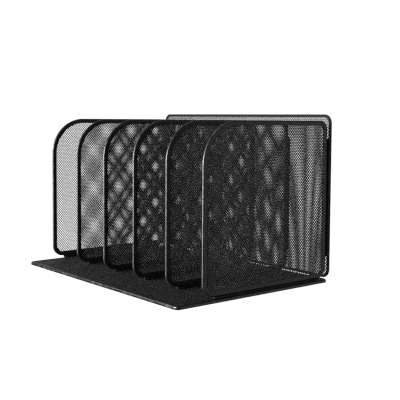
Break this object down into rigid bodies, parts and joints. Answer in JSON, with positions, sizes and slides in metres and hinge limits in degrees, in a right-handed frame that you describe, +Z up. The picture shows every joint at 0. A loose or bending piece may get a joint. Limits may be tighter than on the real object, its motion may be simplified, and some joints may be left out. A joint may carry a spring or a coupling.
{
  "type": "desk organizer",
  "caption": "Free-standing upright file sorter: parallel D-shaped mesh dividers on a flat mesh base, welded to a wider mesh back panel.",
  "frame": {"origin": "centre of the base's footprint, on the surface that it stands on", "axes": "+X to the right as seen from the open front, +Y towards the back panel, +Z up"},
  "size_m": [0.342, 0.24, 0.2107],
  "materials": {
    "hoop": "black powder coat, fine grain, satin",
    "mesh": "black powder coat on expanded metal",
    "bar": "black powder coat over weld seams"
  },
  "bodies": {
    "root": {"base_rim": "hoop", "base_mesh": "mesh", "divider_frame_1": "hoop", "divider_frame_2": "hoop", "divider_frame_3": "hoop", "divider_frame_4": "hoop", "divider_frame_5": "hoop", "divider_frame_6": "hoop", "divider_mesh_1": "mesh", "divider_mesh_2": "mesh", "divider_mesh_3": "mesh", "divider_mesh_4": "mesh", "divider_mesh_5": "mesh", "divider_mesh_6": "mesh", "foot_bar_1": "bar", "foot_bar_2": "bar", "foot_bar_3": "bar", "foot_bar_4": "bar", "foot_bar_5": "bar", "foot_bar_6": "bar", "back_bar_1": "bar", "back_bar_2": "bar", "back_bar_3": "bar", "back_bar_4": "bar", "back_bar_5": "bar", "back_bar_6": "bar", "back_panel_frame": "hoop", "back_panel_mesh": "mesh"}
  },
  "joints": []
}
